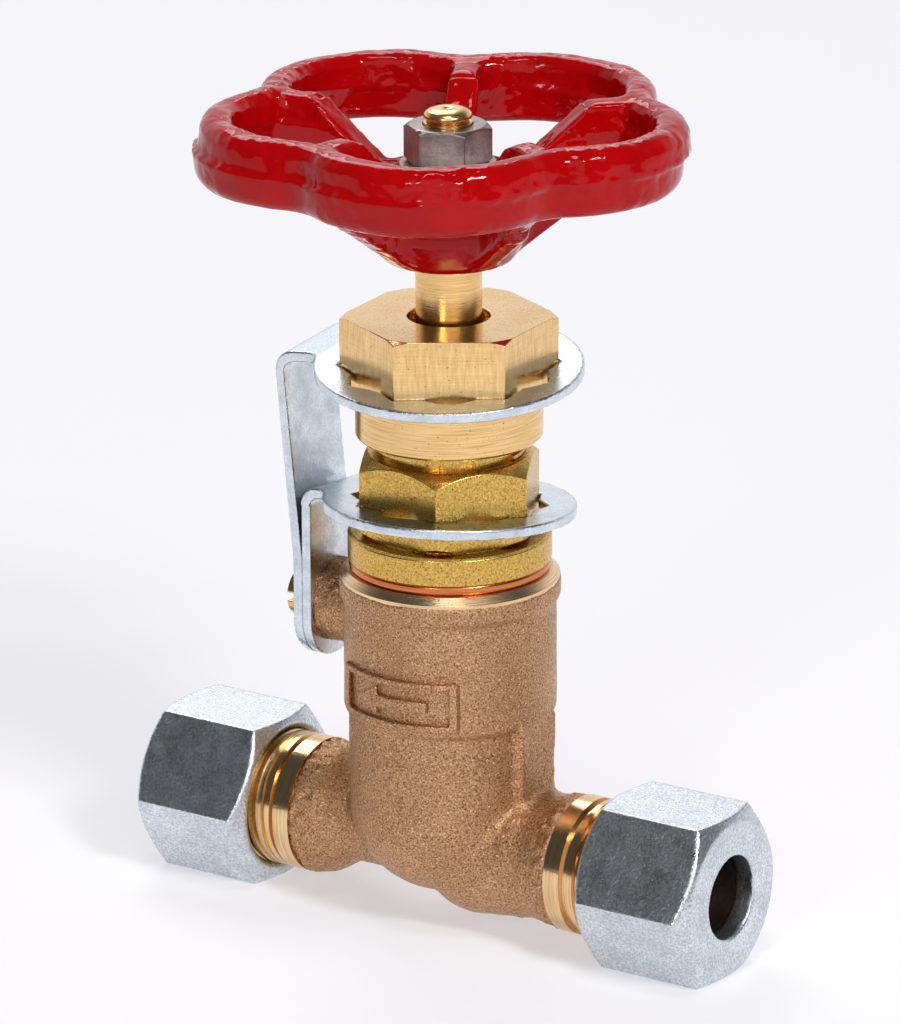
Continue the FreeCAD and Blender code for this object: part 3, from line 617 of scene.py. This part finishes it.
# %% Thread and cutting tools
def thread_ridge(name, root, crest, pitch, low, high):
    """The ridge of a thread on the Z axis, from a low to a high end."""
    foot = root - 0.1
    ridge = draw_outline(name, [(foot, low), (crest, low + pitch * 0.2), (crest, low + pitch * 0.72),
                                (foot, low + pitch * 0.92)])
    apply_modifier(ridge, "SCREW", axis="Z", screw_offset=pitch * MM, angle=2 * math.pi,
                   iterations=int((high - low) / pitch - 0.9), steps=96, render_steps=96)
    close_up(ridge, fill_ends=True)
    bpy.ops.object.shade_smooth_by_angle(angle=math.radians(25))
    return ridge


def cut_away(piece, tool):
    """Cut a tool's shape out of a piece."""
    apply_modifier(piece, "BOOLEAN", operation="DIFFERENCE", solver="EXACT", object=tool)
    bpy.data.objects.remove(tool)


def cut_off_above(piece, height):
    """Take away all of a piece above a height in millimetres and close the cut."""
    edit_all(piece)
    bpy.ops.mesh.bisect(plane_co=(0, 0, height * MM), plane_no=(0, 0, 1), clear_outer=True, use_fill=True)
    bpy.ops.object.mode_set(mode="OBJECT")


def join_into(piece, *others):
    select_only(piece)
    for other in others:
        other.select_set(True)
    bpy.ops.object.join()


def lay_along_x(piece, centre_height):
    """Turn a piece from the Z axis to the X axis, at a height above the floor in millimetres."""
    select_only(piece)
    piece.rotation_euler = (0, math.pi / 2, 0)
    piece.location = (0, 0, centre_height * MM)
    bpy.ops.object.transform_apply(location=True, rotation=True, scale=True)


# %% [markdown]
# ## Threads on the body's ends
#
# The tube's nuts run on a thread at each end of the body. A ring is cut off the plain cylinder, down
# to the root of the thread, and the ridge is added. A narrow collar covers the step to the rough
# casting. The two ends are alike, so one is modelled and its copy is turned half round.

# %% Thread on the body's ends
spigot_low, spigot_high = box_in_mm("inlet_spigot")
spigot_start = spigot_low[0]
spigot_end = spigot_high[0]
flow_height = (spigot_low[2] + spigot_high[2]) / 2
spigot_radius = (spigot_high[2] - spigot_low[2]) / 2
thread_start = spigot_start + 2.6
thread_root = spigot_radius - 0.6

inlet_end = copy_of_node("inlet_spigot", "inlet_thread")
waste = ring("waste", thread_root, spigot_radius + 1.0, thread_start, spigot_end + 1.5)
ridge = thread_ridge("ridge", thread_root, spigot_radius - 0.05, pitch=1.5, low=thread_start,
                     high=spigot_end - 0.5)
collar = ring("collar", thread_root - 0.8, thread_root, spigot_start - 1.5, spigot_start + 0.3)
for turned in (waste, ridge, collar):
    lay_along_x(turned, flow_height)
cut_away(inlet_end, waste)
join_into(inlet_end, ridge, collar)
bpy.ops.object.shade_smooth_by_angle(angle=math.radians(25))

outlet_end = inlet_end.copy()
outlet_end.data = inlet_end.data.copy()
outlet_end.name = "outlet_thread"
bpy.context.scene.collection.objects.link(outlet_end)
select_only(outlet_end)
outlet_end.rotation_mode = "XYZ"
outlet_end.rotation_euler = (0, 0, math.pi)
bpy.ops.object.transform_apply(location=True, rotation=True, scale=True)
finish_piece(inlet_end, "valve_body", turned_bronze, "turned_bronze", "inlet_spigot")
finish_piece(outlet_end, "valve_body", turned_bronze, "turned_bronze", "outlet_spigot")

# %% [markdown]
# ## Bonnet
#
# The bonnet's neck carries the gland nut's thread, and a few of its turns show between the two
# hexagons. The hexagon's edges are rounded first, because a bevel would catch on the thread as well.

# %% Bonnet with its neck thread
neck_radius = 11.0
neck_length = 14.7
neck_top = box_in_mm("bonnet")[1][2]
neck_foot = neck_top - neck_length
neck_root = neck_radius - 0.9

bonnet = copy_of_node("bonnet", "bonnet_finished")
round_edges(bonnet, edge=0.12)
cut_away(bonnet, ring("waste", neck_root, neck_radius + 0.6, neck_foot + 0.05, neck_top + 0.8))
neck_ridge = thread_ridge("ridge", neck_root, neck_radius - 0.05, pitch=1.0, low=neck_foot + 0.1,
                          high=neck_top - 0.6)
join_into(bonnet, neck_ridge)
finish_piece(bonnet, "valve_body", bonnet_brass, "bonnet_brass", "bonnet")

# %% [markdown]
# ## Stem end
#
# The stem shows above the wheel's nut as a small dome with the dimple of the lathe's centre. Bevels on
# the CAD copy could round it, but one turned outline gives groove, dome and dimple together. So the
# copy is cut off inside the nut, where nothing shows, and a turned end takes over.

# %% Stem with a turned end
stem_top = box_in_mm("stem")[1][2]
stem_cut = stem_top - 4.8
end_foot = stem_cut - 0.2
stud_radius = 3.45
groove_radius = 3.0

stem = copy_of_node("stem", "stem_finished")
cut_off_above(stem, stem_cut)
stem_end = turned_piece("stem_end", [(0, end_foot), (stud_radius, end_foot), (stud_radius, stem_top - 1.95),
                                     (groove_radius, stem_top - 1.75), (groove_radius, stem_top - 1.5),
                                     (stud_radius, stem_top - 1.3), (stud_radius, stem_top - 0.95),
                                     (3.3, stem_top - 0.7), (2.7, stem_top - 0.3), (1.9, stem_top - 0.12),
                                     (0.8, stem_top - 0.05), (0.65, stem_top - 0.12), (0, stem_top - 0.6)])
join_into(stem, stem_end)
bpy.ops.object.shade_smooth_by_angle(angle=math.radians(35))
finish_piece(stem, "spindle", turned_brass, "turned_brass", "stem")

# %% [markdown]
# ## Tools for castings
#
# A casting has no sharp edge and no even face. It could be sculpted by hand, but brush strokes can't
# be run again when a size changes. So a melted copy is pushed in and out by the Displace modifier with
# cloud noise. A vertex group says where, so a smooth part stays smooth and a rough edge gets rougher.

# %% Casting tools
def noise_texture(name, size, depth):
    """Cloud noise for displacement, with a feature size in millimetres."""
    texture = bpy.data.textures.new(name, "CLOUDS")
    texture.noise_scale = size * MM
    texture.noise_depth = depth
    return texture


def weigh(piece, name, weight_at):
    """Vertex group with weights worked out from each point's place in millimetres and its normal."""
    group = piece.vertex_groups.new(name=name)
    for vertex in piece.data.vertices:
        group.add([vertex.index], weight_at(vertex.co / MM, vertex.normal), "REPLACE")


def roughen(piece, group, noise_size, height, middle):
    """Displace a group of points by noise. A high middle pushes mostly inwards."""
    texture = noise_texture(piece.name + "_" + group, noise_size, 1)
    apply_modifier(piece, "DISPLACE", texture=texture, texture_coords="LOCAL", vertex_group=group,
                   strength=height * MM, mid_level=middle)


# %% [markdown]
# ## Handwheel
#
# The wheel was cast in two half moulds, and they met a little out of line. Its walls lean in from the
# parting line to the top and to the bottom, the lower half is shifted, and a ragged flash runs round
# the joint. The enamel over it has lumps on the upper half, and is smoother below. The CAD wheel has
# none of this, so each fault gets a function that says where it is, by a point's place, and one
# modifier that makes it there.

# %% Where the handwheel's faults are
rim_top = box_in_mm("handwheel")[1][2]
rim_start = 19.5
parting_height = rim_top - 4.8
half_height = 4.9
flash_width = 0.5
hub_radius = 12.0
hub_reach = 17.0         # how far out the fillets between hub and spokes go
washer_radius = 8.0      # flat on the hub, under the washer, that keeps its edges
washer_flat_low = rim_top - 13.7
spoke_reach = 27.5
spoke_side = 5.5
spoke_blend = 2.0
spoke_turn = math.radians(-27)
spoke_step = math.radians(72)
lower_lumps = 0.35       # share of the upper half's lumps


def lean_at(place, normal):
    if math.hypot(place.x, place.y) < rim_start:
        return 0.0
    share = min(1.0, abs(place.z - parting_height) / half_height)
    return share * math.hypot(normal.x, normal.y)


def flash_at(place, normal):
    if math.hypot(place.x, place.y) < rim_start:
        return 0.0
    return math.exp(-((place.z - parting_height) / flash_width) ** 2) * math.hypot(normal.x, normal.y)


def soft_at(place, normal):
    """Spokes and hub, where the pattern's corners are filled."""
    out = math.hypot(place.x, place.y)
    if out < hub_reach and (place.z < washer_flat_low or out > washer_radius):
        return 1.0
    turn = math.atan2(place.y, place.x) - spoke_turn
    aside = out * math.sin((turn + spoke_step / 2) % spoke_step - spoke_step / 2)
    return min(1.0, max(0.0, spoke_side - abs(aside)) / spoke_blend) if out < spoke_reach else 0.0


def lumpy_at(place, normal):
    if math.hypot(place.x, place.y) < hub_radius:
        return 0.0
    return 1.0 if place.z > parting_height else lower_lumps


def in_lower_rim(place):
    return math.hypot(place.x, place.y) > rim_start * MM and place.z < parting_height * MM


print("parting line of the wheel", round(parting_height, 1), "mm above the floor")

# %% [markdown]
# The order of the steps is that of the real wheel: the moulds shift, the metal fills the corners, the
# walls lean, the flash squeezes out, and the enamel runs over all of it.

# %% Handwheel casting
mould_shift = Vector((-0.836, -0.549, 0)) * 0.8 * MM
lean = -0.55 * MM

wheel = copy_of_node("handwheel", "handwheel_casting")
apply_modifier(wheel, "REMESH", mode="VOXEL", voxel_size=0.4 * MM)
edit_some(wheel, in_lower_rim)
bpy.ops.transform.translate(value=mould_shift)
bpy.ops.object.mode_set(mode="OBJECT")
apply_modifier(wheel, "SMOOTH", factor=0.5, iterations=3)
weigh(wheel, "soft", soft_at)
apply_modifier(wheel, "SMOOTH", factor=0.5, iterations=18, vertex_group="soft")
weigh(wheel, "lean", lean_at)
apply_modifier(wheel, "DISPLACE", vertex_group="lean", strength=lean, mid_level=0.0)
weigh(wheel, "flash", flash_at)
roughen(wheel, "flash", noise_size=2.2, height=0.7, middle=0.35)
weigh(wheel, "upper", lumpy_at)
roughen(wheel, "upper", noise_size=6.0, height=0.4, middle=0.5)
roughen(wheel, "upper", noise_size=2.0, height=0.16, middle=0.5)
keep_in_box(wheel, "handwheel")
bpy.ops.object.shade_smooth()
finish_piece(wheel, "spindle", red_enamel, "red_enamel", "handwheel")

# %% [markdown]
# ## Raised arrow
#
# A raised frame with an arrow, cast on the front of the barrel, shows which way the valve is used.
# Drawn by a bump it would have no edge of its own. So frame and arrow are modelled as bars, and a
# sleeve a little larger than the barrel keeps only what lies in it. The marks then follow the curve.

# %% Raised arrow in a frame
body_top = box_in_mm("body")[1][2]
barrel_radius = 15.3
mark_height = body_top - 16.4
wall_place = -14
bar_depth = 8


def bar(name, length, height, x=0):
    """Bar through the front wall of the barrel, with its length and height in millimetres."""
    bpy.ops.object.select_all(action="DESELECT")
    bpy.ops.mesh.primitive_cube_add(size=1, location=(x * MM, wall_place * MM, mark_height * MM))
    made = bpy.context.object
    made.name = name
    made.scale = (length * MM, bar_depth * MM, height * MM)
    bpy.ops.object.transform_apply(location=True, rotation=True, scale=True)
    return made


frame_bar = bar("mark_frame", length=19.0, height=7.2)
cut_away(frame_bar, bar("mark_inside", length=17.0, height=5.4))
shaft = bar("mark_shaft", length=8.0, height=1.7, x=1.6)
bpy.ops.object.select_all(action="DESELECT")
bpy.ops.mesh.primitive_cylinder_add(vertices=3, radius=2.6 * MM, depth=bar_depth * MM,
                                    location=(-3.6 * MM, wall_place * MM, mark_height * MM))
head = bpy.context.object
head.rotation_euler = (math.pi / 2, -math.pi / 2, 0)
bpy.ops.object.transform_apply(location=True, rotation=True, scale=True)
join_into(shaft, head)
raised = []
for mark in (frame_bar, shaft):
    sleeve = ring("flow_mark", barrel_radius - 1.3, barrel_radius + 0.7, mark_height - 6.8, mark_height + 7.2)
    apply_modifier(sleeve, "BOOLEAN", operation="INTERSECT", solver="EXACT", use_self=True, object=mark)
    bpy.data.objects.remove(mark)
    raised.append(sleeve)
flow_mark, arrow = raised
join_into(flow_mark, arrow)
melt(flow_mark, voxel=0.16, smoothing=4)
bpy.ops.object.shade_smooth()
finish_piece(flow_mark, "valve_body", cast_bronze, "cast_bronze")

# %% [markdown]
# ## Body casting
#
# The pattern maker filled the corners beside the barrel, so they are smoothed most. The skin is
# rougher where the mould's sand broke away: round the ends of the necks, on the boss and in those
# corners. Melting would spoil the machined top, so the casting ends a little below it.

# %% Body casting
bore_reach = 8.0         # round the flow axis, where the threaded ends sit
corner_place = 12.5
corner_width = 3.0
corner_top = 27.0
neck_end_start = 18.4
neck_end_blend = 1.4
boss_start = -15.8
boss_low = 36.0
break_place = 14.5
break_width = 1.2
break_top = 24.0


def corner_at(place, normal):
    """Corners between the necks and the barrel, which the pattern maker filled."""
    if place.z >= corner_top:
        return 0.0
    return math.exp(-((abs(place.x) - corner_place) / corner_width) ** 2)


def broken_at(place, normal):
    """Places where sand broke away from the mould."""
    if place.y ** 2 + (place.z - flow_height) ** 2 < bore_reach ** 2:
        return 0.0
    neck_end = min(1.0, max(0.0, abs(place.x) - neck_end_start) / neck_end_blend)
    boss = 0.5 if place.x < boss_start and place.z > boss_low else 0.0
    corner = math.exp(-((abs(place.x) - break_place) / break_width) ** 2) if place.z < break_top else 0.0
    return max(neck_end, boss, 0.5 * corner)


def sand_at(place, normal):
    """The whole skin."""
    return 1.0


casting = copy_of_node("body", "body_casting")
cut_off_above(casting, body_top - 1.4)
melt(casting, voxel=0.38, smoothing=2)
weigh(casting, "corner", corner_at)
apply_modifier(casting, "SMOOTH", factor=0.5, iterations=30, vertex_group="corner")
weigh(casting, "sand", sand_at)
roughen(casting, "sand", noise_size=1.5, height=0.14, middle=0.5)
weigh(casting, "broken", broken_at)
roughen(casting, "broken", noise_size=1.0, height=0.8, middle=0.38)
bpy.ops.object.shade_smooth()
finish_piece(casting, "valve_body", cast_bronze, "cast_bronze", "body")

# %% [markdown]
# ## Gasket seat
#
# The top of the body was faced and chamfered on a lathe, so it is bright and even beside the rough
# casting. A turned ring, sunk into the casting, gives both the flat and the clean edge.

# %% Machined seat of the gasket
seat_bore = 12.4
seat_foot = body_top - 3.2
seat = turned_piece("gasket_seat", [(seat_bore, seat_foot), (15.7, seat_foot), (15.78, body_top - 1.05),
                                    (14.85, body_top - 0.05), (14.7, body_top), (seat_bore, body_top)])
bpy.ops.object.shade_smooth_by_angle(angle=math.radians(20))
finish_piece(seat, "valve_body", seat_bronze, "turned_bronze")

# %% [markdown]
# ## Floor
#
# The valve stands on white card. More light could make the card white, but it would bleach the metal
# too. So to the eye and in reflections the card is partly bright of itself, which also keeps its
# shadows light.

# %% Floor
floor_size = 6.0
floor_drop = 0.02
glow_share = 0.4
fibres_per_mm = 0.02  # faint clouds in the card, 50 mm wide

bpy.ops.object.select_all(action="DESELECT")
bpy.ops.mesh.primitive_plane_add(size=floor_size, location=(0, 0, -floor_drop * MM))
floor = bpy.context.object
floor.name = "floor"
card, card_tree, card_shader, card_mm = new_material("white_card")
fibres = add_node(card_tree, "TexNoise", {"Vector": card_mm, "Scale": fibres_per_mm, "Detail": 2.0})
card_colour = add_node(card_tree, "Mix", {SHARE: fibres.outputs["Fac"], FIRST: linear("#F3F1F6"),
                                          SECOND: linear("#F5F4F8")}, data_type="RGBA")
card_tree.links.new(card_colour.outputs[MIXED], card_shader.inputs["Base Color"])
card_shader.inputs["Roughness"].default_value = 0.9
card_shader.inputs["Specular IOR Level"].default_value = 0.0
glow = add_node(card_tree, "Emission", {"Color": linear("#F6F5F9"), "Strength": 1.25})
path = add_node(card_tree, "LightPath")
seen = add_node(card_tree, "Math", {0: path.outputs["Is Camera Ray"], 1: path.outputs["Is Glossy Ray"]},
                operation="MAXIMUM")
seen = add_node(card_tree, "Math", {0: seen.outputs["Value"], 1: path.outputs["Is Transmission Ray"]},
                operation="MAXIMUM")
share = add_node(card_tree, "Math", {0: seen.outputs["Value"], 1: glow_share}, operation="MULTIPLY")
both = add_node(card_tree, "MixShader", {0: share.outputs["Value"], 1: card_shader.outputs["BSDF"],
                                         2: glow.outputs["Emission"]})
card_tree.links.new(both.outputs["Shader"], card_tree.nodes["Material Output"].inputs["Surface"])
floor.data.materials.append(card)
print("made", floor.name, "of", card.name)

# %% [markdown]
# ## Lamps
#
# A small strong lamp on the right draws the bright edges. A large one behind on the left and one above
# fill the shade, and a small one in front puts glints on the enamel. Area lamps are used, because
# their square shape shows in the metal as a window would.

# %% Lamps
def soft_box(name, place, size, power):
    """Square lamp that faces the middle of the valve. Place and size are in metres."""
    aim = Vector((0, 0, 60)) * MM
    bpy.ops.object.select_all(action="DESELECT")
    bpy.ops.object.light_add(type="AREA", location=place)
    lamp = bpy.context.object
    lamp.name = name
    lamp.data.shape = "SQUARE"
    lamp.data.size = size
    lamp.data.energy = power
    lamp.rotation_mode = "QUATERNION"
    lamp.rotation_quaternion = (aim - Vector(place)).to_track_quat("-Z", "Y")
    print("lamp", lamp.name, power, "W")


soft_box("key_light", (0.86, -0.36, 0.85), size=0.22, power=7.2)
soft_box("fill_light", (-0.6, 0.6, 0.9), size=0.6, power=4.2)
soft_box("top_light", (0.17, -0.26, 1.2), size=0.3, power=3.0)
soft_box("front_light", (0.2, -0.95, 0.5), size=0.16, power=1.2)

# %% [markdown]
# ## Room
#
# Metal shows what it mirrors, so the room matters as much as the lamps. White paper rises behind the
# valve and a white screen stands round the camera. The rest of the room is dim, which gives the metal
# its dark sides. Walls could be modelled, but a world that depends on direction is quicker to steer.

# %% World
world = bpy.data.worlds.new("studio")
bpy.context.scene.world = world
world.use_nodes = True
sky = world.node_tree
sky.nodes.clear()
direction = add_node(sky, "TexCoord").outputs["Generated"]
# the paper reaches from the floor to well above the valve
away = Vector((-0.55, 0.835, 0.0))
behind = add_node(sky, "VectorMath", {0: direction, 1: away}, operation="DOT_PRODUCT")
behind = add_node(sky, "MapRange", {"Value": behind.outputs["Value"], "From Min": 0.1, "From Max": 0.55})
height = add_node(sky, "SeparateXYZ", {"Vector": direction}).outputs["Z"]
low = add_node(sky, "MapRange", {"Value": height, "From Min": 0.35, "From Max": 0.7, "To Min": 1.0,
                                 "To Max": 0.0})
paper = add_node(sky, "Math", {0: behind.outputs["Result"], 1: low.outputs["Result"]}, operation="MULTIPLY")
# the screen is a round patch in the camera's direction
toward = camera_place.normalized()
screen = add_node(sky, "VectorMath", {0: direction, 1: toward}, operation="DOT_PRODUCT")
screen = add_node(sky, "MapRange", {"Value": screen.outputs["Value"], "From Min": 0.86, "From Max": 0.94})
white = add_node(sky, "Math", {0: paper.outputs["Value"], 1: screen.outputs["Result"]}, operation="MAXIMUM")
room = add_node(sky, "Mix", {SHARE: white.outputs["Value"], FIRST: linear("#4E5052"),
                             SECOND: linear("#F4F4F8")}, data_type="RGBA")
background = add_node(sky, "Background", {"Color": room.outputs[MIXED], "Strength": 1.0})
add_node(sky, "OutputWorld", {"Surface": background.outputs["Background"]})
print("made world", world.name)

# %% Finish
bpy.context.scene.view_settings.view_transform = "Standard"
